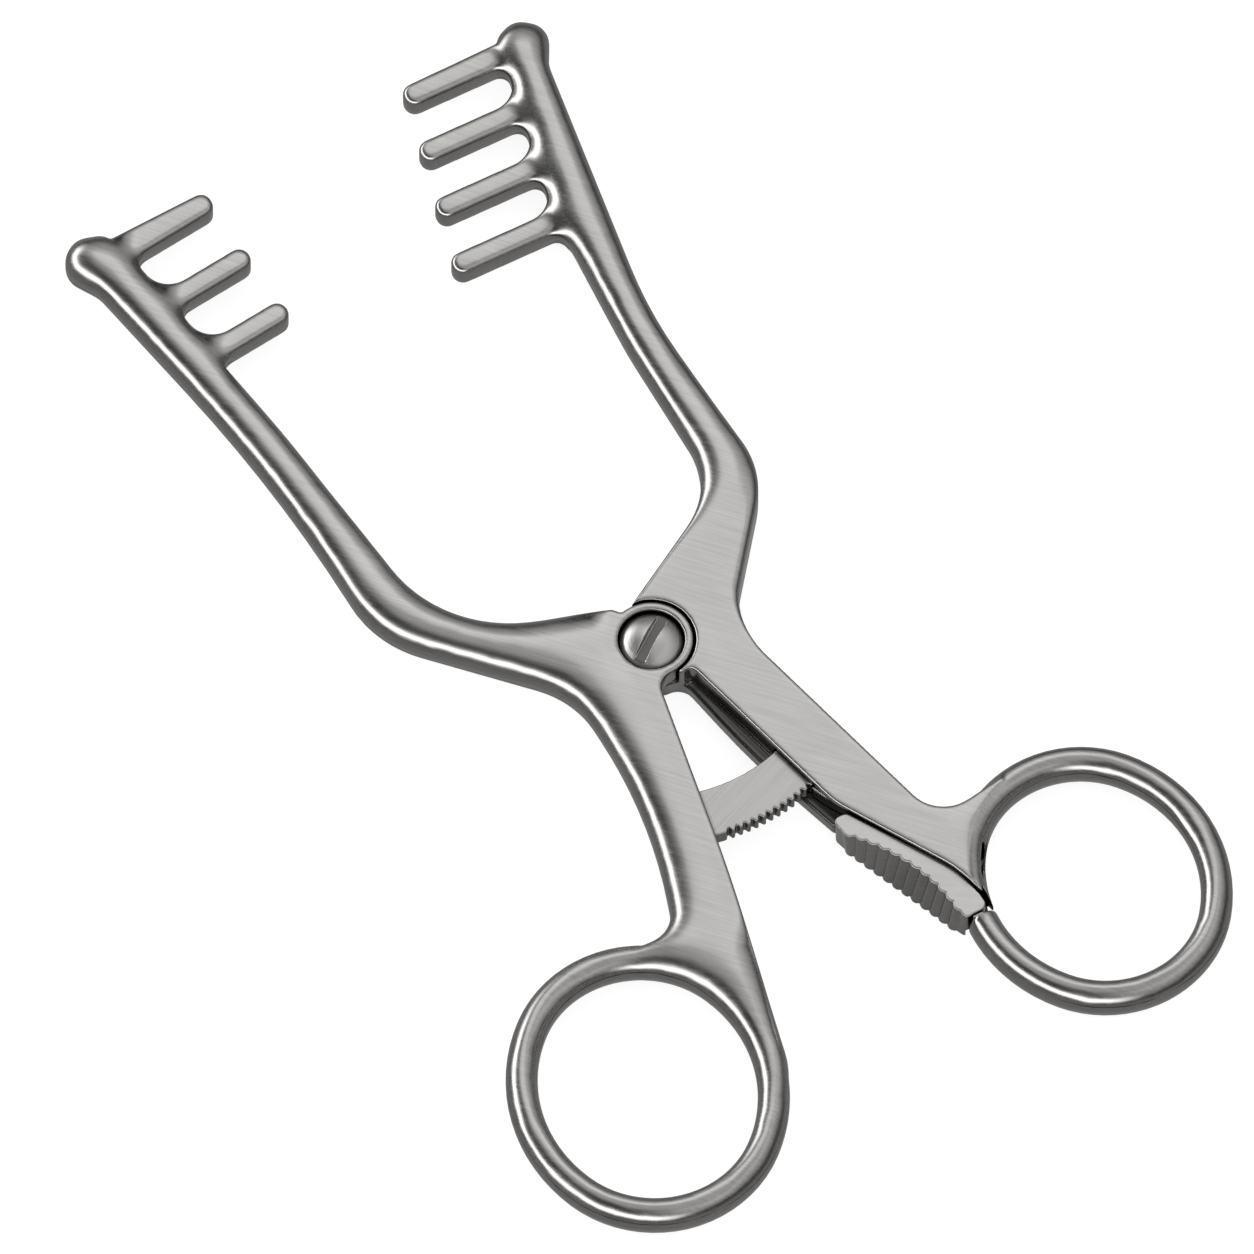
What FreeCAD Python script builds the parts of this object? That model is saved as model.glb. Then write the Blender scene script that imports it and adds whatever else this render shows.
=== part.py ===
import FreeCAD, Part
import math
import os
from types import SimpleNamespace

import Sketcher
from FreeCAD import Vector

# A self retaining retractor: two forged arms on a half-lap screw joint, each with a rake of
# blunt prongs and a finger ring, held apart by an arc-shaped ratchet bar and a thumb lever.
# Millimetres. Origin on the joint axis at the underside, +Y towards the rakes, +X to the right
# arm, +Z up. The arms stand part open.

# Driving dimensions
SIZES = {
    "arm_thickness": 5.0,
    "flank_round": 1.9,
    "edge_break": 0.25,
    "eye_radius": 4.4,
    "recess_clearance": 0.25,
    "lap_play": 0.04,
    "running_clearance": 0.05,
    "fit_clearance": 0.02,
    "shank_radius": 2.0,
    "head_radius": 3.45,
    "head_seat_depth": 1.5,
    "head_rim_height": 0.6,
    "head_dome_rise": 1.6,
    "driver_slot_width": 1.2,
    "driver_slot_depth": 1.0,
    "driver_slot_turn": 34.0,
    "prong_thickness": 3.0,
    "prong_width": 2.5,
    "prong_edge": 0.35,
    "left_prong_pitch": 7.5,
    "right_prong_pitch": 6.6,
    "left_ring_width": 22.4,
    "left_ring_length": 26.2,
    "left_ring_tilt": -14.9,
    "right_ring_width": 21.4,
    "right_ring_length": 24.6,
    "right_ring_tilt": 0.0,
    "ring_bar_width": 3.35,
    "ring_bar_height": 4.5,
    "ring_end_share": 0.93,
    "bar_inner_radius": 17.95,
    "bar_outer_radius": 23.4,
    "bar_thickness": 1.8,
    "bar_bottom": 2.05,
    "bar_left_angle": 24.0,
    "bar_right_angle": 32.3,
    "tooth_pitch": 0.9,
    "toothless_angle": 11.0,
    "tooth_depth": 0.55,
    "bar_side_clearance": 0.15,
    "rivet_radius": 0.8,
    "rivet_spread": 0.23,
    "rivet_length": 4.1,
    "shelf_height": 1.9,
    "top_plate_thickness": 0.7,
    "ledge_height": 1.2,
    "lever_bottom": 0.25,
    "lever_clearance": 0.1,
    "skirt_thickness": 0.65,
    "pin_beyond_bar": 13.3,
    "pin_angle": 22.4,
    "ridge_count": 12,
    "ridge_depth": 0.32,
    "lever_pin_radius": 0.75,
    "pawl_angle": 14.8,
    "pawl_bite": 0.2,
    "spring_thickness": 0.3,
    "spring_width": 1.3,
    "spring_screw_radius": 0.7,
}

doc = FreeCAD.newDocument("self_retaining_retractor")
sheet = doc.addObject("Spreadsheet::Sheet", "sizes")
for row, (name, number) in enumerate(SIZES.items(), start=1):
    sheet.set("A%d" % row, name)
    sheet.set("B%d" % row, str(number))
    sheet.setAlias("B%d" % row, name)
doc.recompute()
s = SimpleNamespace(**{name: float(sheet.get(name)) for name in SIZES})

# Sizes and places that follow from the driving ones
lap_height = s.arm_thickness / 2
LEFT_RING = Vector(-25.73, -44.35, 0)
RIGHT_RING = Vector(26.25, -46.1, 0)


def polar(degrees, radius):
    """A place at a distance from the joint's axis, its direction counted from the -Y axis."""
    angle = math.radians(degrees - 90)
    return Vector(math.cos(angle), math.sin(angle), 0) * radius


LEVER_PIN = polar(s.pin_angle, s.bar_outer_radius + s.pin_beyond_bar)
SPRING_SCREW = LEVER_PIN + Vector(3.0, -1.9, 0)


def from_pin(corners):
    """Corners (x, y, radius) counted from the lever's pin."""
    return [(LEVER_PIN.x + x, LEVER_PIN.y + y, radius) for x, y, radius in corners]


def bind(item, **expressions):
    """Tie properties of an object to the sheet; a double underscore stands for a dot."""
    for path, expression in expressions.items():
        item.setExpression(path.replace("__", "."), expression)


def rounded(corners):
    """Lines and tangent arcs along a closed run of corners (x, y, radius)."""
    points = [Vector(x, y, 0) for x, y, _ in corners]
    count = len(points)
    entries = []
    for i, (corner, (_, _, radius)) in enumerate(zip(points, corners)):
        back = (points[i - 1] - corner).normalize()
        ahead = (points[(i + 1) % count] - corner).normalize()
        if radius == 0:
            entries.append((corner, corner, None))
            continue
        half = back.getAngle(ahead) / 2
        reach = radius / math.tan(half)
        middle = corner + (back + ahead).normalize() * (radius / math.sin(half))
        start = corner + back * reach
        end = corner + ahead * reach
        left_turn = back.cross(ahead).z < 0
        first, last = (start, end) if left_turn else (end, start)
        low = math.atan2(first.y - middle.y, first.x - middle.x)
        high = math.atan2(last.y - middle.y, last.x - middle.x)
        if high < low:
            high += 2 * math.pi
        circle = Part.Circle(middle, Vector(0, 0, 1), radius)
        entries.append((start, end, Part.ArcOfCircle(circle, low, high)))
    shapes = []
    for i, (_, end, arc) in enumerate(entries):
        if arc:
            shapes.append(arc)
        following = entries[(i + 1) % count][0]
        run = following - end
        heading = points[(i + 1) % count] - points[i]
        if run.Length > 1e-6 and run.dot(heading) < 0:
            raise ValueError("corners %d and %d are too round: %s" % (i, i + 1, points[i]))
        if run.Length > 1e-6:
            shapes.append(Part.LineSegment(end, following))
    return shapes


def eye_corners(first, last, count=6):
    """Corners whose arcs join into the joint's round eye, between two angles."""
    step = (last - first) / count
    reach = s.eye_radius / math.cos(math.radians(step / 2))
    corners = []
    for number in range(count):
        angle = math.radians(first + step * (number + 0.5))
        corners.append((reach * math.cos(angle), reach * math.sin(angle), s.eye_radius))
    return corners


def beside_eye(degrees, run, radius):
    """A corner on the line that touches the eye at an angle, a run ahead of the touching point."""
    angle = math.radians(degrees)
    return (s.eye_radius * math.cos(angle) - run * math.sin(angle),
            s.eye_radius * math.sin(angle) + run * math.cos(angle), radius)


def flat_sketch(name, geometry, height="0"):
    """A sketch parallel to the ground at a height taken from the sheet."""
    sketch = doc.addObject("Sketcher::SketchObject", name)
    sketch.addGeometry(geometry, False)
    bind(sketch, Placement__Base__z=height)
    return sketch


def prism(name, geometry, bottom, height):
    """A sketch pulled up from one height of the sheet by another."""
    sketch = flat_sketch(name + "_outline", geometry, bottom)
    solid = doc.addObject("Part::Extrusion", name)
    solid.Base = sketch
    solid.DirMode = "Custom"
    solid.Dir = Vector(0, 0, 1)
    solid.Solid = True
    bind(solid, LengthFwd=height)
    return solid


def cylinder(name, place, radius, bottom, height):
    solid = doc.addObject("Part::Cylinder", name)
    solid.Placement.Base = place
    bind(solid, Radius=radius, Height=height, Placement__Base__z=bottom)
    return solid


def cut(name, base, tools):
    result = doc.addObject("Part::Cut", name)
    result.Base = base
    result.Tool = fuse(name + "_tools", tools) if len(tools) > 1 else tools[0]
    return result


def fuse(name, pieces):
    result = doc.addObject("Part::MultiFuse", name)
    result.Shapes = pieces
    return result


def round_rims(name, base, rule, kind="Part::Fillet"):
    """Round or chamfer the edges that lie flat on the top and bottom faces, by a radius that
    the rule gives for each place along them."""
    doc.recompute()
    low = base.Shape.BoundBox.ZMin
    high = base.Shape.BoundBox.ZMax
    picked = []
    for number, edge in enumerate(base.Shape.Edges, start=1):
        box = edge.BoundBox
        on_face = box.ZMax - low < 1e-6 or high - box.ZMin < 1e-6
        if not on_face:
            continue
        middle_radius = rule(edge.valueAt((edge.FirstParameter + edge.LastParameter) / 2))
        if not middle_radius:
            continue
        first_radius = rule(edge.valueAt(edge.FirstParameter)) or middle_radius
        last_radius = rule(edge.valueAt(edge.LastParameter)) or middle_radius
        picked.append((number, first_radius, last_radius))
    result = doc.addObject(kind, name)
    result.Base = base
    result.Edges = picked
    return result


def ramp(value, start, end, low, high):
    """low up to start, high from end on, and an even change between."""
    share = min(1.0, max(0.0, (value - start) / (end - start)))
    return low + (high - low) * share


def ring_line(hole_width, hole_length):
    """Middle line of a finger ring's bar: an oval of tangent arcs, begun at its lowest point."""
    half_width = (hole_width + s.ring_bar_width) / 2
    half_length = (hole_length + s.ring_bar_width) / 2
    end_radius = s.ring_end_share * half_width
    rise = half_length - end_radius
    side_radius = (half_width ** 2 + rise ** 2 - end_radius ** 2) / (2 * (half_width - end_radius))
    inset = side_radius - half_width
    join = math.atan2(rise, inset)
    turn = math.pi
    up = Vector(0, 0, 1)
    low_end = Part.Circle(Vector(0, -rise, 0), up, end_radius)
    high_end = Part.Circle(Vector(0, rise, 0), up, end_radius)
    right_side = Part.Circle(Vector(-inset, 0, 0), up, side_radius)
    left_side = Part.Circle(Vector(inset, 0, 0), up, side_radius)
    return [Part.ArcOfCircle(low_end, -turn / 2, -join),
            Part.ArcOfCircle(right_side, -join, join),
            Part.ArcOfCircle(high_end, join, turn - join),
            Part.ArcOfCircle(left_side, turn - join, turn + join),
            Part.ArcOfCircle(low_end, turn + join, 1.5 * turn)]


def finger_ring(name, middle, tilt, hole_width, hole_length):
    """An oval bar swept round a ring's middle line, and a through cutter up to that line, so
    that a handle's web ends inside the bar."""
    line = ring_line(hole_width, hole_length)
    turned = FreeCAD.Rotation(Vector(0, 0, 1), tilt)
    path = flat_sketch(name + "_path", line, "sizes.arm_thickness / 2")
    path.Placement.Base = middle
    path.Placement.Rotation = turned
    section = doc.addObject("Sketcher::SketchObject", name + "_section")
    top = Vector(0, s.ring_bar_height / 2, 0)
    side = Vector(s.ring_bar_width / 2, 0, 0)
    section.addGeometry(Part.Ellipse(top, side, Vector(0, 0, 0)), False)
    lowest = Vector(0, -(hole_length + s.ring_bar_width) / 2, 0)
    upright = FreeCAD.Rotation(Vector(0, 1, 0), Vector(0, 0, 1), Vector(1, 0, 0))
    section.Placement = FreeCAD.Placement(
        middle + turned.multVec(lowest) + Vector(0, 0, lap_height), turned * upright)
    ring = doc.addObject("Part::Sweep", name)
    ring.Sections = [section]
    ring.Spine = (path, ["Edge%d" % (number + 1) for number in range(len(line))])
    ring.Solid = True
    inside = prism(name + "_inside", line, "0", "sizes.arm_thickness")
    inside.Base.Placement.Base = middle
    inside.Base.Placement.Rotation = turned
    return ring, inside


def comb(name, tips, lean, spine_foot, spine_slope, under, over, crown):
    """Prongs side by side on the spine. Each runs from the spine's inner line to its tip; its
    under side meets the spine in a tight curve and its upper side in a wide one."""
    side = 1 if tips[0].x > spine_foot.x else -1
    slope = math.tan(math.radians(lean)) * side

    def on_spine(tip, offset):
        """Where a prong's edge meets the spine's inner line."""
        level = tip.y + offset
        foot = spine_foot.x - spine_slope * spine_foot.y
        y = (level + slope * (foot - tip.x)) / (1 - slope * spine_slope)
        return foot + spine_slope * y, y

    half = s.prong_width / 2
    nose = half - 0.05
    depth = -3.0 * side
    corners = [(spine_foot.x + depth, spine_foot.y - 1.5, 0),
               (spine_foot.x - 0.8 * side, spine_foot.y - 1.5, 0)]
    for number, tip in enumerate(tips):
        x, y = on_spine(tip, -half)
        corners.append((x, y, under))
        corners.append((tip.x, tip.y - half, nose))
        corners.append((tip.x, tip.y + half, nose))
        if number < len(tips) - 1:
            x, y = on_spine(tip, half)
            corners.append((x, y, over))
    corners += crown
    body = prism(name + "_blank", rounded(corners),
                 "(sizes.arm_thickness - sizes.prong_thickness) / 2", "sizes.prong_thickness")

    def rule(point):
        inside = (point.x - spine_foot.x - spine_slope * (point.y - spine_foot.y)) * side
        return s.prong_edge if inside > -2.6 else 0

    return round_rims(name, body, rule, "Part::Chamfer")


# Left arm: upper half of the joint, three prongs
left_tips = [Vector(-13.25 - 0.27 * k, 53.2 + s.left_prong_pitch * k, 0) for k in range(3)]
left_spine_foot = Vector(-21.8, 49.0, 0)
LEFT_OUTLINE = [
    (-25.1, 70.0, 2.2),
    (-28.6, 71.2, 2.4),
    (-31.5, 68.9, 2.4),
    (-29.15, 64.8, 4.0),
    (-24.3, 36.0, 175.0),
    (-24.35, 15.2, 13.0),
    (-9.7, -0.8, 10.5),
    (-9.55, -16.5, 58.0),
    (-14.55, -30.3, 3.6),
    (-23.6, -29.6, 0),
    (-23.6, -31.2, 0),
    (-15.4, -51.9, 0),
    (-13.9, -52.8, 0),
    (-11.85, -49.5, 10.0),
    (-6.2, -26.5, 200.0),
    beside_eye(-90, -1.7, 1.8),
] + eye_corners(-90, 98) + [
    beside_eye(98, 0.55, 0.35),
    (-1.75, 5.08, 0.45),
    (-18.2, 12.0, 14.8),
    (-20.7, 40.0, 150.0),
    (-24.1, 64.0, 50.0),
]


def build_left_arm():
    blank = prism("left_blank", rounded(LEFT_OUTLINE), "0", "sizes.arm_thickness")

    def rule(point):
        x, y = point.x, point.y
        if (y < -30.95 and x < -12.9) or (x < -23.5 and -32 < y < -28):
            return 0
        outer = x < -23.4 or (y < 16 and x < -0.9 * y - 6.5 and y > -1) or (y <= -1 and x < -9)
        if outer:
            return s.flank_round
        if y > 10 and x < -16:
            return ramp(y, 12, 30, 0.9, s.flank_round)
        return s.edge_break

    shaped = round_rims("left_shaped", blank, rule)
    prongs = comb("left_prongs", left_tips, 4.5, left_spine_foot, -0.143, 1.5, 2.9,
                  [(-25.4, 69.35, 4.0), (-28.4, 69.6, 0), (-28.4, 66.0, 0)])
    ring, inside = finger_ring("left_ring", LEFT_RING, s.left_ring_tilt, s.left_ring_width,
                               s.left_ring_length)
    webbed = cut("left_webbed", shaped, [inside])
    forging = fuse("left_forging", [webbed, prongs, ring])
    lap = cylinder("left_lap_cut", Vector(0, 0, 0), "sizes.eye_radius + sizes.recess_clearance",
                   "0", "(sizes.arm_thickness + sizes.lap_play) / 2")
    bore = cylinder("left_bore", Vector(0, 0, 0), "sizes.shank_radius + sizes.running_clearance",
                    "0", "sizes.arm_thickness")
    seat = cylinder("left_screw_seat", Vector(0, 0, 0),
                    "sizes.head_radius + sizes.running_clearance",
                    "sizes.arm_thickness - sizes.head_seat_depth", "sizes.head_seat_depth")
    slot = prism("left_bar_slot", arc_band(-s.bar_left_angle - 0.6, 0.0, s.fit_clearance),
                 "sizes.bar_bottom", "sizes.bar_thickness")
    holes = rivet_cylinders("left_rivet_hole", "sizes.rivet_radius + sizes.fit_clearance")
    arm = cut("left_arm", forging, [lap, bore, seat, slot] + holes)
    arm.Label = "left_arm"
    return arm


def arc_band(first, last, clearance):
    """The ratchet bar's band between two angles, counted from the -Y axis."""
    inner = s.bar_inner_radius - clearance
    outer = s.bar_outer_radius + clearance
    up = Vector(0, 0, 1)
    middle = Vector(0, 0, 0)
    begin = math.radians(first - 90)
    end = math.radians(last - 90)
    return [Part.ArcOfCircle(Part.Circle(middle, up, outer), begin, end),
            Part.LineSegment(polar(last, outer), polar(last, inner)),
            Part.ArcOfCircle(Part.Circle(middle, up, inner), begin, end),
            Part.LineSegment(polar(first, inner), polar(first, outer))]


def rivet_cylinders(name, radius):
    """Two upright rivets through the bar's tang, from the underside."""
    middle = (s.bar_inner_radius + s.bar_outer_radius) / 2
    spread = s.rivet_spread * (s.bar_outer_radius - s.bar_inner_radius)
    inner = cylinder(name + "_inner", polar(-18.4, middle - spread), radius, "0",
                     "sizes.rivet_length")
    outer = cylinder(name + "_outer", polar(-21.4, middle + spread), radius, "0",
                     "sizes.rivet_length")
    return [inner, outer]


# Right arm: lower half of the joint, four prongs, slotted handle
right_tips = [Vector(4.1 + 1.83 * k, 48.85 + s.right_prong_pitch * k, 0) for k in range(4)]
right_spine_foot = Vector(15.6, 46.0, 0)
RIGHT_OUTLINE = [
    (9.2, -6.2, 10.0),
    (9.2, -1.3, 9.5),
    (20.2, 11.8, 11.0),
    (19.3, 34.2, 53.0),
    (24.7, 64.8, 4.0),
    (27.0, 68.6, 2.3),
    (24.0, 71.2, 2.3),
    (20.9, 70.0, 2.2),
    (20.6, 64.5, 30.0),
    (16.35, 47.0, 30.0),
    (15.2, 31.0, 60.0),
    (15.1, 12.6, 10.6),
    beside_eye(92, 0, 0),
] + eye_corners(92, 265) + [
    beside_eye(265, 1.6, 1.85),
    (3.15, -16.0, 100.0),
    (10.75, -42.4, 1.2),
    (12.7, -44.7, 0),
    (15.6, -44.8, 0),
    (23.5, -33.6, 0),
    (23.5, -31.9, 0),
    (15.4, -32.9, 4.2),
]
# Inner edge of the handle's top plate, from the joint down to the ring
TOP_PLATE_EDGE = [(2.1, -4.9, 0.6), (7.0, -25.9, 8.0), (13.9, -38.3, 10.0), (15.9, -44.55, 0)]


def build_right_arm():
    blank = prism("right_blank", rounded(RIGHT_OUTLINE), "0", "sizes.arm_thickness")

    def rule(point):
        x, y = point.x, point.y
        if (y < -42.9 and x > 11.2) or (x > 23.4 and y < -30) or (x > 16.2 and y < -33.1):
            return 0
        if y < -5 or x < 1.6:
            return s.edge_break
        if y > 14 and x < 16.5 + 0.2 * (y - 40):
            return ramp(y, 34, 46, 0.6, s.flank_round)
        if y < 14 and x < 1.1 * y + 3.5 and y > 4.4:
            return ramp(y, 6, 12, s.edge_break, 0.6)
        if y <= 4.4:
            return ramp(y, -4, 4, s.edge_break, 1.2)
        return ramp(y, 4, 14, 1.2, s.flank_round)

    shaped = round_rims("right_shaped", blank, rule)
    prongs = comb("right_prongs", right_tips, 2.7, right_spine_foot, 0.25, 1.1, 3.1,
                  [(20.9, 69.6, 4.0), (23.8, 69.9, 0), (23.8, 66.0, 0)])
    ring, inside = finger_ring("right_ring", RIGHT_RING, s.right_ring_tilt, s.right_ring_width,
                               s.right_ring_length)
    webbed = cut("right_webbed", shaped, [inside])
    forging = fuse("right_forging", [webbed, prongs, ring])
    lap = cylinder("right_lap_cut", Vector(0, 0, 0), "sizes.eye_radius + sizes.recess_clearance",
                   "(sizes.arm_thickness - sizes.lap_play) / 2",
                   "(sizes.arm_thickness + sizes.lap_play) / 2")
    bore = cylinder("right_thread_hole", Vector(0, 0, 0),
                    "sizes.shank_radius + sizes.fit_clearance", "0",
                    "sizes.arm_thickness")
    arm = cut("right_arm", forging, [lap, bore] + handle_cuts())
    arm.Label = "right_arm"
    return arm


def handle_cuts():
    """Everything milled out of the right handle for the bar, the lever, its pin and spring."""
    shelf = prism("shelf_cut", rounded([(0.6, -4.9, 0)] + TOP_PLATE_EDGE + [
        (11.0, -44.55, 0), (3.0, -34.0, 0), (-1.0, -8.0, 0)]),
        "sizes.shelf_height", "sizes.arm_thickness")
    window = prism("bar_window", arc_band(0.0, 60.0, s.bar_side_clearance),
                   "sizes.bar_bottom - sizes.bar_side_clearance",
                   "sizes.bar_thickness + 2 * sizes.bar_side_clearance")
    pocket = prism("pawl_pocket", rounded(from_pin([
        (-8.8, 12.2, 0), (-5.4, 12.2, 0.8), (-0.8, 6.6, 1.5), (0.1, 2.6, 1.2), (1.9, 0.6, 1.0),
        (4.4, -0.7, 1.2), (4.4, -3.4, 1.2), (1.9, -7.2, 0.8), (0.6, -7.6, 0), (-5.5, 1.0, 0)])),
        "sizes.bar_bottom - sizes.bar_side_clearance",
        "sizes.bar_thickness + 2 * sizes.bar_side_clearance")
    bay = prism("lever_bay", rounded(from_pin([
        (-10.0, 6.95, 0), (-5.8, 6.95, 0.6), (-3.8, 3.8, 2.0), (0.95, -4.0, 4.0),
        (1.7, -8.5, 1.0), (1.6, -10.55, 0), (-6.0, -10.55, 0)])),
        "sizes.ledge_height",
        "sizes.arm_thickness - sizes.top_plate_thickness - sizes.ledge_height")
    open_bay = prism("lever_bay_open", rounded(
        from_pin([(-10.0, 6.95, 0)]) + [(7.4, LEVER_PIN.y + 6.95, 0)] + TOP_PLATE_EDGE[2:]
        + from_pin([(-6.0, -10.55, 0)])),
        "sizes.ledge_height", "sizes.arm_thickness")
    skirt_room = prism("skirt_room", rounded(from_pin([
        (-10.0, 6.95, 0), (-7.4, 6.95, 0.4), (-5.0, 0.0, 3.0), (-0.75, -8.95, 0.5),
        (-0.8, -10.55, 0), (-6.0, -10.55, 0)])),
        "0", "sizes.arm_thickness / 2")
    pin_hole = cylinder("lever_pin_hole", LEVER_PIN,
                        "sizes.lever_pin_radius + sizes.fit_clearance",
                        "0", "sizes.arm_thickness - 0.4 * sizes.top_plate_thickness")
    screw_hole = cylinder("spring_screw_hole", SPRING_SCREW,
                          "sizes.spring_screw_radius + sizes.fit_clearance",
                          "0", "sizes.arm_thickness - 0.4 * sizes.top_plate_thickness")
    return [shelf, window, pocket, bay, open_bay, skirt_room, pin_hole, screw_hole]


def build_joint_screw():
    """Domed, slotted head in the upper eye, shank screwed flush into the lower lap."""
    body = doc.addObject("PartDesign::Body", "joint_screw")
    upright = next(o for o in body.Origin.OriginFeatures if o.Role == "XZ_Plane")
    profile = body.newObject("Sketcher::SketchObject", "screw_profile")
    profile.AttachmentSupport = [(upright, "")]
    profile.MapMode = "FlatFace"
    seat = s.arm_thickness - s.head_seat_depth + s.lap_play
    rim = seat + s.head_rim_height
    top = rim + s.head_dome_rise
    corners = [Vector(0, 0, 0), Vector(s.shank_radius, 0, 0), Vector(s.shank_radius, seat, 0),
               Vector(s.head_radius, seat, 0), Vector(s.head_radius, rim, 0)]
    for first, second in zip(corners, corners[1:]):
        profile.addGeometry(Part.LineSegment(first, second), False)
    dome = (s.head_radius ** 2 + s.head_dome_rise ** 2) / (2 * s.head_dome_rise)
    middle = Vector(0, top - dome, 0)
    slant = math.atan2(rim - middle.y, s.head_radius)
    circle = Part.Circle(middle, Vector(0, 0, 1), dome)
    profile.addGeometry(Part.ArcOfCircle(circle, slant, math.pi / 2), False)
    profile.addGeometry(Part.LineSegment(Vector(0, top, 0), corners[0]), False)
    turned = body.newObject("PartDesign::Revolution", "screw_turned")
    turned.Profile = profile
    turned.ReferenceAxis = (profile, ["V_Axis"])
    turned.Angle = 360.0
    doc.recompute()
    flat = next(o for o in body.Origin.OriginFeatures if o.Role == "XY_Plane")
    groove = body.newObject("Sketcher::SketchObject", "driver_slot_outline")
    groove.AttachmentSupport = [(flat, "")]
    groove.MapMode = "FlatFace"
    groove.AttachmentOffset = FreeCAD.Placement(
        Vector(0, 0, top - s.driver_slot_depth),
        FreeCAD.Rotation(Vector(0, 0, 1), s.driver_slot_turn))
    half = s.driver_slot_width / 2
    reach = s.head_radius + 1
    ends = [Vector(-reach, -half, 0), Vector(reach, -half, 0),
            Vector(reach, half, 0), Vector(-reach, half, 0)]
    for first, second in zip(ends, ends[1:] + ends[:1]):
        groove.addGeometry(Part.LineSegment(first, second), False)
    slot = body.newObject("PartDesign::Pocket", "driver_slot")
    slot.Profile = groove
    slot.Reversed = True
    bind(slot, Length="sizes.driver_slot_depth + 1")
    body.Tip = slot
    body.Label = "joint_screw"
    return body


def build_ratchet_bar():
    """An arc bar with saw teeth along its outer edge, cut one by one round the joint axis."""
    blank = prism("bar_blank", arc_band(-s.bar_left_angle, s.bar_right_angle, 0),
                  "sizes.bar_bottom", "sizes.bar_thickness")
    step = math.degrees(s.tooth_pitch / s.bar_outer_radius)
    right_count = int((s.bar_right_angle - s.pawl_angle) / step)
    left_count = int((s.pawl_angle + s.toothless_angle) / step)
    teeth = []
    for number in range(-left_count, right_count + 1):
        angle = s.pawl_angle + step * number
        tooth = doc.addObject("Part::Prism", "tooth_gap_%02d" % len(teeth))
        tooth.Polygon = 3
        tooth.Placement = FreeCAD.Placement(
            polar(angle, s.bar_outer_radius), FreeCAD.Rotation(Vector(0, 0, 1), angle + 90))
        bind(tooth, Circumradius="sizes.tooth_depth", Height="sizes.bar_thickness",
             Placement__Base__z="sizes.bar_bottom")
        teeth.append(tooth)
    bar = cut("ratchet_bar", blank, teeth + rivet_cylinders(
        "bar_rivet_hole", "sizes.rivet_radius + sizes.fit_clearance"))
    bar.Label = "ratchet_bar"
    return bar


def build_rivets():
    rivets = fuse("ratchet_rivets", rivet_cylinders("rivet", "sizes.rivet_radius"))
    rivets.Label = "ratchet_rivets"
    return rivets


def ridges(first, middle, last):
    """Round ridges side by side along an arc through three places."""
    places = Part.Arc(first, middle, last).discretize(Number=int(s.ridge_count) + 1)
    result = []
    for begin, end in zip(places, places[1:]):
        along = (end - begin).normalize()
        crest = (begin + end) * 0.5 + Vector(along.y, -along.x, 0) * s.ridge_depth
        result.append(Part.Arc(begin, crest, end))
    return result


def pad_outline(name, height, start, middle, end):
    """The thumb pad's outline at one height: its ridged face and a plain back."""
    corners = from_pin([(end.x, end.y, 0), (-1.9, -10.2, 0.6), (1.0, -10.1, 0.9),
                        (0.9, -8.3, 0.8), (0.3, -4.2, 3.0), (-4.4, 3.4, 2.0),
                        (-6.3, 6.6, 0.8), (-8.1, 6.7, 0.7), (start.x, start.y, 0)])
    back = rounded(corners)[:-1]
    face = ridges(LEVER_PIN + start, LEVER_PIN + middle, LEVER_PIN + end)
    return flat_sketch(name, back + face, height)


def build_release_lever():
    """Thumb pad with a ridged scoop, a skirt in front of the handle, and a pawl on its pin."""
    front = Vector(-7.6, 4.7, 0)
    end = Vector(-2.3, -9.2, 0)
    low = pad_outline("pad_underside", "sizes.lever_bottom", front, Vector(-4.9, -2.23, 0), end)
    high = pad_outline("pad_top",
                       "sizes.arm_thickness - sizes.top_plate_thickness - sizes.lever_clearance",
                       Vector(-7.8, 4.8, 0), Vector(-3.3, -1.8, 0), Vector(-1.8, -9.1, 0))
    pad = doc.addObject("Part::Loft", "lever_pad")
    pad.Sections = [low, high]
    pad.Solid = True
    pad.Ruled = True
    along = (end - front).normalize()
    inward = Vector(-along.y, along.x, 0) * s.skirt_thickness
    skirt_front = front + inward - along * 3.0
    skirt_end = end + inward
    under = prism("above_ledge", rounded(from_pin([
        (skirt_front.x, skirt_front.y, 0), (skirt_end.x, skirt_end.y, 0.3),
        (skirt_end.x, -12.0, 0), (4.0, -12.0, 0), (4.0, 9.0, 0)])),
        "0", "sizes.ledge_height + sizes.lever_clearance")
    trimmed = cut("lever_pad_trimmed", pad, [under])
    radial = polar(s.pawl_angle, 1)
    across = Vector(-radial.y, radial.x, 0)
    nose = radial * (s.bar_outer_radius - s.pawl_bite)
    flank = nose + radial * 0.55 + across * 0.25
    shoulder = nose + radial * 0.8 + across * 1.5
    heel = nose + radial * 2.0 + across * 0.25
    plate = prism("lever_plate", rounded([
        (nose.x, nose.y, 0.08), (flank.x, flank.y, 0.1), (shoulder.x, shoulder.y, 0.4)]
        + from_pin([(-1.0, 3.6, 3.0), (1.2, 0.8, 0.8), (1.3, -0.6, 0.8), (-0.1, -2.6, 1.0),
                    (-2.0, -2.5, 0), (-4.4, 1.5, 0), (-4.8, 4.8, 1.0)])
        + [(heel.x, heel.y, 0.4)]), "sizes.bar_bottom", "sizes.bar_thickness")
    solid = fuse("lever_solid", [trimmed, plate])
    hole = cylinder("lever_hub_hole", LEVER_PIN,
                    "sizes.lever_pin_radius + sizes.running_clearance", "0",
                    "sizes.arm_thickness")
    lever = cut("release_lever", solid, [hole])
    lever.Label = "release_lever"
    return lever


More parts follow.
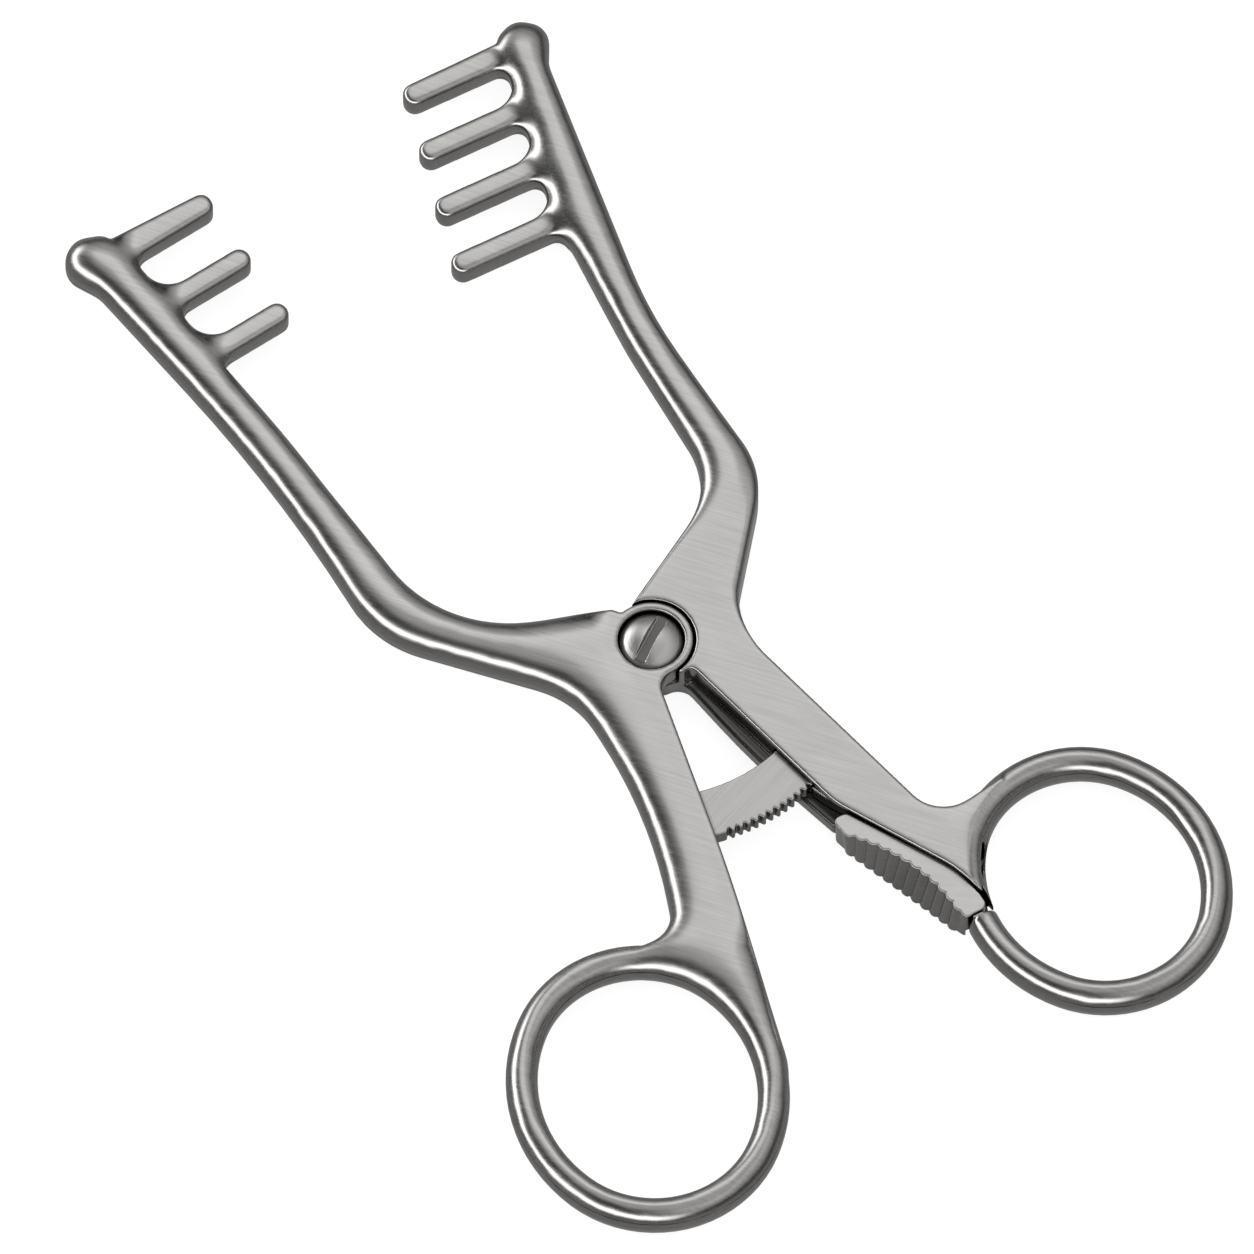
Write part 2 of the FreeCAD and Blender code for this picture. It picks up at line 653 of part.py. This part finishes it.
def build_lever_pin():
    pin = cylinder("lever_pin", LEVER_PIN, "sizes.lever_pin_radius",
                   "0", "sizes.arm_thickness - 0.4 * sizes.top_plate_thickness")
    pin.Label = "lever_pin"
    return pin


def build_leaf_spring():
    """A strip on edge: an eye round its screw and a bow that bears on the lever's back."""
    radius = s.spring_screw_radius + s.fit_clearance
    outer = radius + s.spring_thickness
    bottom = "sizes.bar_bottom + (sizes.bar_thickness - sizes.spring_width) / 2"
    eye = cylinder("spring_eye", SPRING_SCREW,
                   "sizes.spring_screw_radius + sizes.fit_clearance + sizes.spring_thickness",
                   bottom, "sizes.spring_width")
    hole = cylinder("spring_eye_hole", SPRING_SCREW,
                    "sizes.spring_screw_radius + sizes.fit_clearance", bottom,
                    "sizes.spring_width")
    start = SPRING_SCREW + Vector(-outer, 0, 0)
    bow = LEVER_PIN + Vector(1.35, -4.2, 0)
    tail = LEVER_PIN + Vector(0.8, -6.2, 0)
    side = Vector(s.spring_thickness, 0, 0)
    strip = prism("spring_leaf", [
        Part.Arc(start, bow, tail), Part.LineSegment(tail, tail + side),
        Part.Arc(tail + side, bow + side, start + side), Part.LineSegment(start + side, start)],
        bottom, "sizes.spring_width")
    spring = cut("leaf_spring", fuse("spring_solid", [eye, strip]), [hole])
    spring.Label = "leaf_spring"
    return spring


def build_spring_screw():
    screw = cylinder("spring_screw", SPRING_SCREW, "sizes.spring_screw_radius",
                     "0", "sizes.arm_thickness - 0.4 * sizes.top_plate_thickness")
    screw.Label = "spring_screw"
    return screw


parts = [
    build_left_arm(),
    build_right_arm(),
    build_joint_screw(),
    build_ratchet_bar(),
    build_rivets(),
    build_release_lever(),
    build_lever_pin(),
    build_leaf_spring(),
    build_spring_screw(),
]
doc.recompute()

for item in doc.Objects:
    if "Invalid" in item.State or "Error" in item.State:
        raise RuntimeError("%s did not build: %s" % (item.Name, item.State))
os.makedirs("parts", exist_ok=True)
for part in parts:
    shape = part.Shape
    if shape.isNull() or not shape.isValid() or not shape.Solids:
        raise RuntimeError("%s has no valid shape" % part.Label)
    shape.exportStep("parts/%s.step" % part.Label)
    print("%-16s %d solid(s) %9.2f mm3" % (part.Label, len(shape.Solids), shape.Volume))
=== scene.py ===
import math

import bpy
import numpy as np
from mathutils import Matrix, Vector


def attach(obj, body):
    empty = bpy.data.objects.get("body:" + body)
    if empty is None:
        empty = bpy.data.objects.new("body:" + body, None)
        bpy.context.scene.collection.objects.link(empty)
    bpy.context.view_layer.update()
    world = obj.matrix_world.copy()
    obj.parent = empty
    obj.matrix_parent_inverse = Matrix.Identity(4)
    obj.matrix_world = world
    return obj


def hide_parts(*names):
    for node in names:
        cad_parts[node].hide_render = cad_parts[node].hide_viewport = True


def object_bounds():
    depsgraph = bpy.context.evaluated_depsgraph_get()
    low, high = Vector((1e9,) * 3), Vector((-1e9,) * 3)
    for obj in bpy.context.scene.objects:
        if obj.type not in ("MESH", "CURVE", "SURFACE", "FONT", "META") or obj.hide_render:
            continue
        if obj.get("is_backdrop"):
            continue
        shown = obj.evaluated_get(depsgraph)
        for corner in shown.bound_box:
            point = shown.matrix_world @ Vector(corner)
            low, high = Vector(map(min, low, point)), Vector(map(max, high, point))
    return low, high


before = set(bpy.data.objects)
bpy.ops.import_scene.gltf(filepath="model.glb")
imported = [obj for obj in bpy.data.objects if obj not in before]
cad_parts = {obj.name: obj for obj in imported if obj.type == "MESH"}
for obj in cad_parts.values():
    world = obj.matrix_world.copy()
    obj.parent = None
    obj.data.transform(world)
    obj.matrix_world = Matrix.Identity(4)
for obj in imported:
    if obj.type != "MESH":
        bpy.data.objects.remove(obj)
low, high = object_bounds()

MM = 0.001

# Camera of the photograph: a long lens, looking down from the handles' side
BACK = Vector((-0.2326, -0.4078, 0.8829)).normalized()
RIGHT = Vector((0.8686, -0.4955, 0.0)).normalized()
LOOK_AT = Vector((-1.67, 2.30, 5.3)) * MM
FRAME_WIDTH = 129.8 * MM
CAMERA_DISTANCE = 5.5
SENSOR = 36.0
NEAREST_SEEN = 0.05

# Surfaces are resampled this finely, which also breaks their edges as polishing does
FORGING_GRID = 0.16 * MM
SMALL_GRID = 0.09 * MM
WELD_DISTANCE = 0.002 * MM
SMALL_EDGE_ANGLE = math.radians(32)

# Brushed lines are noise drawn out along one direction; clouds are the same every way
LINE_SCALE = (110, 3200, 3200)
CLOUD_SCALE = (170, 170, 170)
LINE_RELIEF = 0.02 * MM
FLAT_BRUSH_ANGLE = math.radians(-48.8)
# The dark grey painted on up-facing faces low in recesses, as their shade.
RECESS_SHADE_GREY = (0.15, 0.147, 0.143, 1)
# The light grey of convex edges: partly wear, partly a painted highlight.
WORN_HIGHLIGHT_GREY = (0.9, 0.89, 0.87, 1)

# How polish has changed the forgings. Each pair runs from no change to full, in mm along X or Y
RAKE_FORM_Y = (36, 44)
ARM_FORM_Y = (6, 16)
RING_FORM_Y = (-33, -36)
ARM_SHADE_Y = (7, 13)
RING_SHADE_Y = (-32, -36)
RIGHT_RING_X = (15.2, 18.4)
PRONGS_Y = (40, 46)
PRONG_ROOT = (0.2, 2.2)
HANDLE_ROLL = (1.4, 3.6)
ARM_FORM = 0.3
RING_FORM = 0.8
PRONG_CRISPNESS = 0.75

# Lines on the left and right forgings, as (x, y, change of x along y)
LEFT_SPINE = (-21.8, 49, -0.143)
RIGHT_SPINE = (15.6, 46, 0.25)
HANDLE_UPPER_EDGE = (-2.5, -5, 0.172)
HANDLE_LOWER_EDGE = (-6.2, -26.5, 0.246)

# Rounds of easing: the sampled form, its worn places, the shading and its wide patches
SAMPLED_ROUNDS = 4
WORN_ROUNDS = 10
SHADE_ROUNDS = 5
PATCH_CELL = 0.45 * MM
PATCH_ROUNDS = 130
CELL_ROUNDS = 24
PULL = 0.5
PUSH_BACK = -0.51


def link(tree, value, socket):
    """Join an output to a socket, or set the socket to a plain value."""
    if isinstance(value, bpy.types.NodeSocket):
        tree.links.new(value, socket)
    else:
        socket.default_value = value


def ramp(tree, source, stops):
    """A colour ramp between grey levels (position, level)."""
    made = tree.nodes.new("ShaderNodeValToRGB")
    elements = made.color_ramp.elements
    while len(elements) < len(stops):
        elements.new(0.5)
    for element, (position, level) in zip(elements, stops):
        element.position = position
        element.color = (level, level, level, 1)
    tree.links.new(source, made.inputs["Fac"])
    return made.outputs["Color"]


def mix(tree, share, first, second, blend="MIX"):
    """A colour between two, each a colour or an output."""
    made = tree.nodes.new("ShaderNodeMix")
    made.data_type = "RGBA"
    made.blend_type = blend
    link(tree, share, made.inputs["Factor"])
    link(tree, first, made.inputs[6])
    link(tree, second, made.inputs[7])
    return made.outputs[2]


def math_node(tree, operation, *values):
    """The result of a sum on up to three values or outputs."""
    made = tree.nodes.new("ShaderNodeMath")
    made.operation = operation
    for value, socket in zip(values, made.inputs):
        link(tree, value, socket)
    return made.outputs[0]


def map_range(tree, source, span, kind="LINEAR", start=0.0, end=1.0):
    """A value's place in a span, taken to the same place between start and end."""
    made = tree.nodes.new("ShaderNodeMapRange")
    made.interpolation_type = kind
    tree.links.new(source, made.inputs["Value"])
    made.inputs["From Min"].default_value, made.inputs["From Max"].default_value = span
    made.inputs["To Min"].default_value = start
    made.inputs["To Max"].default_value = end
    return made.outputs["Result"]


def split_axes(tree, source):
    """The X, Y and Z outputs of a vector."""
    made = tree.nodes.new("ShaderNodeSeparateXYZ")
    tree.links.new(source, made.inputs["Vector"])
    return made.outputs


def noise(tree, place, scale, turn=0.0, detail=3.0):
    """Noise over the object's own coordinates, stretched by a scale along each axis."""
    turned = tree.nodes.new("ShaderNodeMapping")
    turned.inputs["Rotation"].default_value = (0, 0, -turn)
    tree.links.new(place, turned.inputs["Vector"])
    stretched = tree.nodes.new("ShaderNodeMapping")
    stretched.inputs["Scale"].default_value = scale
    tree.links.new(turned.outputs["Vector"], stretched.inputs["Vector"])
    made = tree.nodes.new("ShaderNodeTexNoise")
    made.inputs["Scale"].default_value = 1.0
    made.inputs["Detail"].default_value = detail
    made.inputs["Roughness"].default_value = 0.6
    tree.links.new(stretched.outputs["Vector"], made.inputs["Vector"])
    return made.outputs["Fac"]


def steel(name, flat, side, roughness, line_angle, line_depth, line_tone, crevice_shade_reach, edge_wear_and_highlight=0.0,
          recess_shade_below=0.0, recess_shade_facing=1.0):
    """Satin stainless steel: brushed lines on the flats and a cloudy polish; side walls painted darker
    as shade; edges lighter, partly as wear and partly as a painted highlight; corners painted darker as
    shade out to a reach in mm; and up-facing faces below a height in mm painted in deep shade."""
    material = bpy.data.materials.new(name)
    material.use_nodes = True
    tree = material.node_tree
    shader = tree.nodes["Principled BSDF"]
    place = tree.nodes.new("ShaderNodeTexCoord").outputs["Object"]
    surface = tree.nodes.new("ShaderNodeNewGeometry")
    facing_up = split_axes(tree, surface.outputs["Normal"])["Z"]
    lines = noise(tree, place, LINE_SCALE, line_angle, 4.0)
    clouds = noise(tree, place, CLOUD_SCALE)

    level = ramp(tree, math_node(tree, "ABSOLUTE", facing_up), [(0.1, 0.0), (0.6, 0.5), (0.96, 1.0)])
    # Painted shade: ambient occlusion darkens corners and creases within the reach.
    crevice_shade = tree.nodes.new("ShaderNodeAmbientOcclusion")
    crevice_shade.samples = 6
    crevice_shade.inputs["Distance"].default_value = crevice_shade_reach * MM
    # Painted shade: side walls take the darker side colour and flats the lighter flat colour, by how
    # far each face turns upward.
    colour = mix(tree, level, side, flat)
    for source, stops in ((lines, [(0.3, line_tone), (0.7, 1.0)]),
                          (clouds, [(0.35, 0.93), (0.65, 1.0)]),
                          (crevice_shade.outputs["AO"], [(0.35, 0.1), (0.85, 1.0)])):
        colour = mix(tree, 1.0, colour, ramp(tree, source, stops), "MULTIPLY")
    # Painted shade: up-facing faces below the height, down in recesses, take the dark recess grey.
    below = math_node(tree, "LESS_THAN", split_axes(tree, place)["Z"], recess_shade_below * MM)
    shade_faces_up = math_node(tree, "GREATER_THAN", facing_up, recess_shade_facing)
    colour = mix(tree, math_node(tree, "MULTIPLY", below, shade_faces_up), colour, RECESS_SHADE_GREY)
    # Convex edges are lightened, partly as wear and partly as a painted highlight.
    worn = ramp(tree, surface.outputs["Pointiness"], [(0.53, 0.0), (0.63, edge_wear_and_highlight)])
    tree.links.new(mix(tree, worn, colour, WORN_HIGHLIGHT_GREY), shader.inputs["Base Color"])
    shader.inputs["Metallic"].default_value = 1.0

    uneven = map_range(tree, mix(tree, 0.5, lines, clouds), (0.3, 0.7), start=-0.05, end=0.05)
    satin = map_range(tree, level, (0.0, 1.0), start=0.6 * roughness, end=roughness)
    tree.links.new(math_node(tree, "ADD", satin, uneven), shader.inputs["Roughness"])
    bump = tree.nodes.new("ShaderNodeBump")
    bump.inputs["Strength"].default_value = line_depth
    bump.inputs["Distance"].default_value = LINE_RELIEF
    tree.links.new(lines, bump.inputs["Height"])
    tree.links.new(bump.outputs["Normal"], shader.inputs["Normal"])
    return material


def fade(values, start, end):
    """0 up to start, 1 from end on, and an even change between; end may be the lower one."""
    return np.clip((values - start) / (end - start), 0, 1)


def line_x(y, line):
    """The x of a line at each y."""
    x, foot, slope = line
    return x + slope * (y - foot)


def at_rings(x, y, span):
    """1 at both finger rings, fading over a span of y; the right handle beside its ring is left out."""
    return fade(y, *span) * np.where(x < 0, 1, fade(x, *RIGHT_RING_X))


def worn_shape(x, y):
    """How far use and polish have rounded a forging's form: most at its rake, then its ring."""
    arms = np.maximum(fade(y, *RAKE_FORM_Y), ARM_FORM * fade(y, *ARM_FORM_Y))
    return np.maximum(arms, RING_FORM * at_rings(x, y, RING_FORM_Y))


def soft_flanks(x, y):
    """Where a forging's flanks roll softly into its flats: both arms less their prongs, both
    rings and the outer side of the left handle."""
    inner_edge = np.where(y > HANDLE_LOWER_EDGE[1], line_x(y, HANDLE_UPPER_EDGE),
                          line_x(y, HANDLE_LOWER_EDGE))
    handle = fade(inner_edge - x, *HANDLE_ROLL) * (x < 0)
    past_spine = np.where(x < 0, x - line_x(y, LEFT_SPINE), line_x(y, RIGHT_SPINE) - x)
    crisp = PRONG_CRISPNESS * fade(past_spine, *PRONG_ROOT) * fade(y, *PRONGS_Y)
    arms = np.maximum(fade(y, *ARM_SHADE_Y), handle) * (1 - crisp)
    return np.maximum(arms, at_rings(x, y, RING_SHADE_Y))


def relax(values, edges, share, rounds, pull=PULL, weights=None):
    """Each point's values drawn towards its neighbours' mean, by its share, some rounds over."""
    first, second = edges[:, 0], edges[:, 1]
    count = len(values)
    weights = np.ones(len(edges)) if weights is None else weights
    neighbours = np.bincount(first, weights, count) + np.bincount(second, weights, count)
    for _ in range(rounds):
        for column in range(3):
            line = values[:, column]
            total = (np.bincount(first, weights * line[second], count)
                     + np.bincount(second, weights * line[first], count))
            values[:, column] += pull * share * (total / neighbours - line)
    return values


def wide_patches(points, edges, normals):
    """The normals averaged over a wide patch: in cells first, then eased between the cells."""
    cells = np.floor(points / PATCH_CELL + 0.5).astype(np.int64)
    group = np.unique(cells, axis=0, return_inverse=True)[1].ravel()
    count = group.max() + 1
    size = np.bincount(group)
    coarse = np.column_stack([np.bincount(group, normals[:, k], count) / size for k in range(3)])
    joins, weights = np.unique(np.sort(group[edges], axis=1), axis=0, return_counts=True)
    coarse = relax(coarse, joins, 1.0, PATCH_ROUNDS, weights=weights.astype(float))
    return relax(coarse[group], edges, 1.0, CELL_ROUNDS)


def weld(piece):
    """Join the corners that the imported faces share."""
    made = piece.modifiers.new("weld", "WELD")
    made.merge_threshold = WELD_DISTANCE


def resample(piece, grid):
    """Give a piece an even skin of small faces."""
    made = piece.modifiers.new("skin", "REMESH")
    made.mode = "VOXEL"
    made.voxel_size = grid
    made.use_smooth_shade = True


def resampled_mesh(source):
    """A new, evenly sampled mesh of a CAD node, whose own mesh stays as it is."""
    rough = bpy.data.objects.new(source.name + "_rough", source.data.copy())
    bpy.context.collection.objects.link(rough)
    weld(rough)
    resample(rough, FORGING_GRID)
    seen = rough.evaluated_get(bpy.context.evaluated_depsgraph_get())
    mesh = bpy.data.meshes.new_from_object(seen)
    bpy.data.objects.remove(rough)
    return mesh


def polished(name, body, material):
    """A forging that stands for its CAD node: resampled, its form rounded and its shading
    eased where the functions above say."""
    mesh = resampled_mesh(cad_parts[name])
    mesh.materials.clear()
    mesh.materials.append(material)
    points = np.empty(3 * len(mesh.vertices))
    mesh.vertices.foreach_get("co", points)
    edges = np.empty(2 * len(mesh.edges), dtype=np.int64)
    mesh.edges.foreach_get("vertices", edges)
    edges = edges.reshape(-1, 2)

    points = relax(points.reshape(-1, 3), edges, 1.0, SAMPLED_ROUNDS)
    x, y = points[:, 0] / MM, points[:, 1] / MM
    worn = worn_shape(x, y)
    for pull in (PULL, PUSH_BACK) * WORN_ROUNDS:
        points = relax(points, edges, worn, 1, pull)
    mesh.vertices.foreach_set("co", points.ravel())
    mesh.update()

    normals = np.array([vertex.normal for vertex in mesh.vertices])
    soft = soft_flanks(x, y)[:, None]
    wide = wide_patches(points, edges, normals)
    normals = relax(normals, edges, 1.0, SHADE_ROUNDS) * (1 - soft) + wide * soft
    normals /= np.linalg.norm(normals, axis=1, keepdims=True)
    mesh.normals_split_custom_set_from_vertices(normals)

    piece = bpy.data.objects.new(name + "_polished", mesh)
    bpy.context.collection.objects.link(piece)
    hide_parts(name)
    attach(piece, body)


def finish_node(name, material, smooth_rounds=0):
    """The CAD node with its material. With rounds given, its surface is also resampled and
    smoothed by modifiers; without, only its sharp edges are split."""
    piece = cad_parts[name]
    piece.data.materials.clear()
    piece.data.materials.append(material)
    weld(piece)
    if smooth_rounds:
        resample(piece, SMALL_GRID)
        smooth = piece.modifiers.new("smooth", "SMOOTH")
        smooth.factor = 0.5
        smooth.iterations = smooth_rounds
    else:
        edges = piece.modifiers.new("edges", "EDGE_SPLIT")
        edges.split_angle = SMALL_EDGE_ANGLE


# Steels
# Each side colour is the flat colour painted darker, as shade on the side walls.
forged = steel("forged_steel", flat=(0.62, 0.61, 0.595, 1), side=(0.46, 0.45, 0.435, 1),
               roughness=0.27, line_angle=FLAT_BRUSH_ANGLE, line_depth=0.14, line_tone=0.8,
               crevice_shade_reach=1.5, recess_shade_below=3.4, recess_shade_facing=0.3)
turned_steel = steel("turned_steel", flat=(0.72, 0.71, 0.70, 1), side=(0.66, 0.65, 0.64, 1),
                     roughness=0.36, line_angle=math.radians(30), line_depth=0.03,
                     line_tone=0.93, crevice_shade_reach=0.35, edge_wear_and_highlight=0.1, recess_shade_below=5.0, recess_shade_facing=0.9)
bar_steel = steel("bar_steel", flat=(0.58, 0.57, 0.56, 1), side=(0.32, 0.31, 0.30, 1),
                  roughness=0.28, line_angle=math.radians(20), line_depth=0.2, line_tone=0.82,
                  crevice_shade_reach=0.6, edge_wear_and_highlight=0.2)
lever_steel = steel("lever_steel", flat=(0.60, 0.59, 0.58, 1), side=(0.42, 0.41, 0.40, 1),
                    roughness=0.22, line_angle=math.radians(-35), line_depth=0.1, line_tone=0.9,
                    crevice_shade_reach=1.0)

# Pieces
polished("left_arm", "left_half", forged)
polished("right_arm", "right_half", forged)
finish_node("joint_screw", turned_steel, smooth_rounds=3)
finish_node("ratchet_bar", bar_steel, smooth_rounds=2)
finish_node("release_lever", lever_steel, smooth_rounds=2)
for small in ("ratchet_rivets", "lever_pin", "leaf_spring", "spring_screw"):
    finish_node(small, turned_steel)

# Floor: white paper that glows a little, as an evenly lit sweep does
FLOOR_SIZE = 3.0
FLOOR_GAP = 0.05 * MM
bpy.ops.mesh.primitive_plane_add(size=FLOOR_SIZE, location=(0, 0, low[2] - FLOOR_GAP))
floor = bpy.context.object
floor.name = "floor"
floor.visible_glossy = False
paper = bpy.data.materials.new("paper")
paper.use_nodes = True
sheet = paper.node_tree.nodes["Principled BSDF"]
sheet.inputs["Base Color"].default_value = (0.4, 0.4, 0.4, 1)
sheet.inputs["Roughness"].default_value = 0.9
sheet.inputs["Specular IOR Level"].default_value = 0.0
sheet.inputs["Emission Color"].default_value = (1, 1, 1, 1)
sheet.inputs["Emission Strength"].default_value = 0.88
floor.data.materials.append(paper)
floor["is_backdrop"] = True


def heading(azimuth, elevation=0):
    """A direction, with azimuths counted in degrees from +X towards +Y."""
    around, rise = math.radians(azimuth), math.radians(elevation)
    return Vector((math.cos(rise) * math.cos(around), math.cos(rise) * math.sin(around),
                   math.sin(rise)))


def softbox(name, azimuth, elevation, distance, width, length, strength):
    """A rectangular light that faces the object, its brightness given per area."""
    data = bpy.data.lights.new(name, "AREA")
    data.shape = "RECTANGLE"
    data.size = width
    data.size_y = length
    data.energy = strength * width * length * math.pi
    light = bpy.data.objects.new(name, data)
    bpy.context.collection.objects.link(light)
    toward = heading(azimuth, elevation)
    light.location = LOOK_AT + toward * distance
    light.rotation_euler = toward.to_track_quat("Z", "Y").to_euler()


# The key light stands opposite the camera, which is at azimuth 240
softbox("key", azimuth=60, elevation=58, distance=0.7, width=0.5, length=0.36, strength=0.5)

# Surroundings: a soft ceiling over dark cards, and on the left a long low strip light. Each
# side is a list of (height of the direction, brightness)
LEFT_AZIMUTH = 175
LEFT_BLEND = (-0.1, 0.5)
SKY_STRENGTH = 8.0
LEFT_SKY = [(-1.0, 0.30), (-0.5, 0.26), (-0.1, 0.14), (0.02, 0.15), (0.18, 3.2), (0.34, 3.2),
            (0.48, 0.3), (0.58, 0.03), (0.86, 0.04), (0.96, 0.5), (1.0, 0.6)]
RIGHT_SKY = [(-1.0, 0.32), (-0.45, 0.26), (-0.2, 0.2), (-0.08, 0.08), (0.12, 0.08), (0.3, 0.32),
             (0.55, 0.5), (0.75, 0.75), (0.88, 0.5), (1.0, 0.5)]

world = bpy.context.scene.world or bpy.data.worlds.new("world")
bpy.context.scene.world = world
world.use_nodes = True
sky = world.node_tree
direction = sky.nodes.new("ShaderNodeTexCoord").outputs["Generated"]
height = math_node(sky, "MULTIPLY_ADD", split_axes(sky, direction)["Z"], 0.5, 0.5)
left = sky.nodes.new("ShaderNodeVectorMath")
left.operation = "DOT_PRODUCT"
sky.links.new(direction, left.inputs[0])
left.inputs[1].default_value = heading(LEFT_AZIMUTH)
leftness = map_range(sky, left.outputs["Value"], LEFT_BLEND, "SMOOTHSTEP")
left_shade, right_shade = [
    ramp(sky, height, [((rise + 1) / 2, level / SKY_STRENGTH) for rise, level in side])
    for side in (LEFT_SKY, RIGHT_SKY)]
background = sky.nodes["Background"]
sky.links.new(mix(sky, leftness, right_shade, left_shade), background.inputs["Color"])
background.inputs["Strength"].default_value = SKY_STRENGTH

# Camera
optics = bpy.data.cameras.new("camera")
camera = bpy.data.objects.new("camera", optics)
bpy.context.collection.objects.link(camera)
optics.sensor_width = SENSOR
optics.lens = SENSOR * CAMERA_DISTANCE / FRAME_WIDTH
optics.clip_start = NEAREST_SEEN
turn = Matrix((RIGHT, BACK.cross(RIGHT), BACK)).transposed().to_4x4()
camera.matrix_world = Matrix.Translation(LOOK_AT + BACK * CAMERA_DISTANCE) @ turn
bpy.context.scene.camera = camera
bpy.context.scene.view_settings.view_transform = "Standard"

low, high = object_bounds()
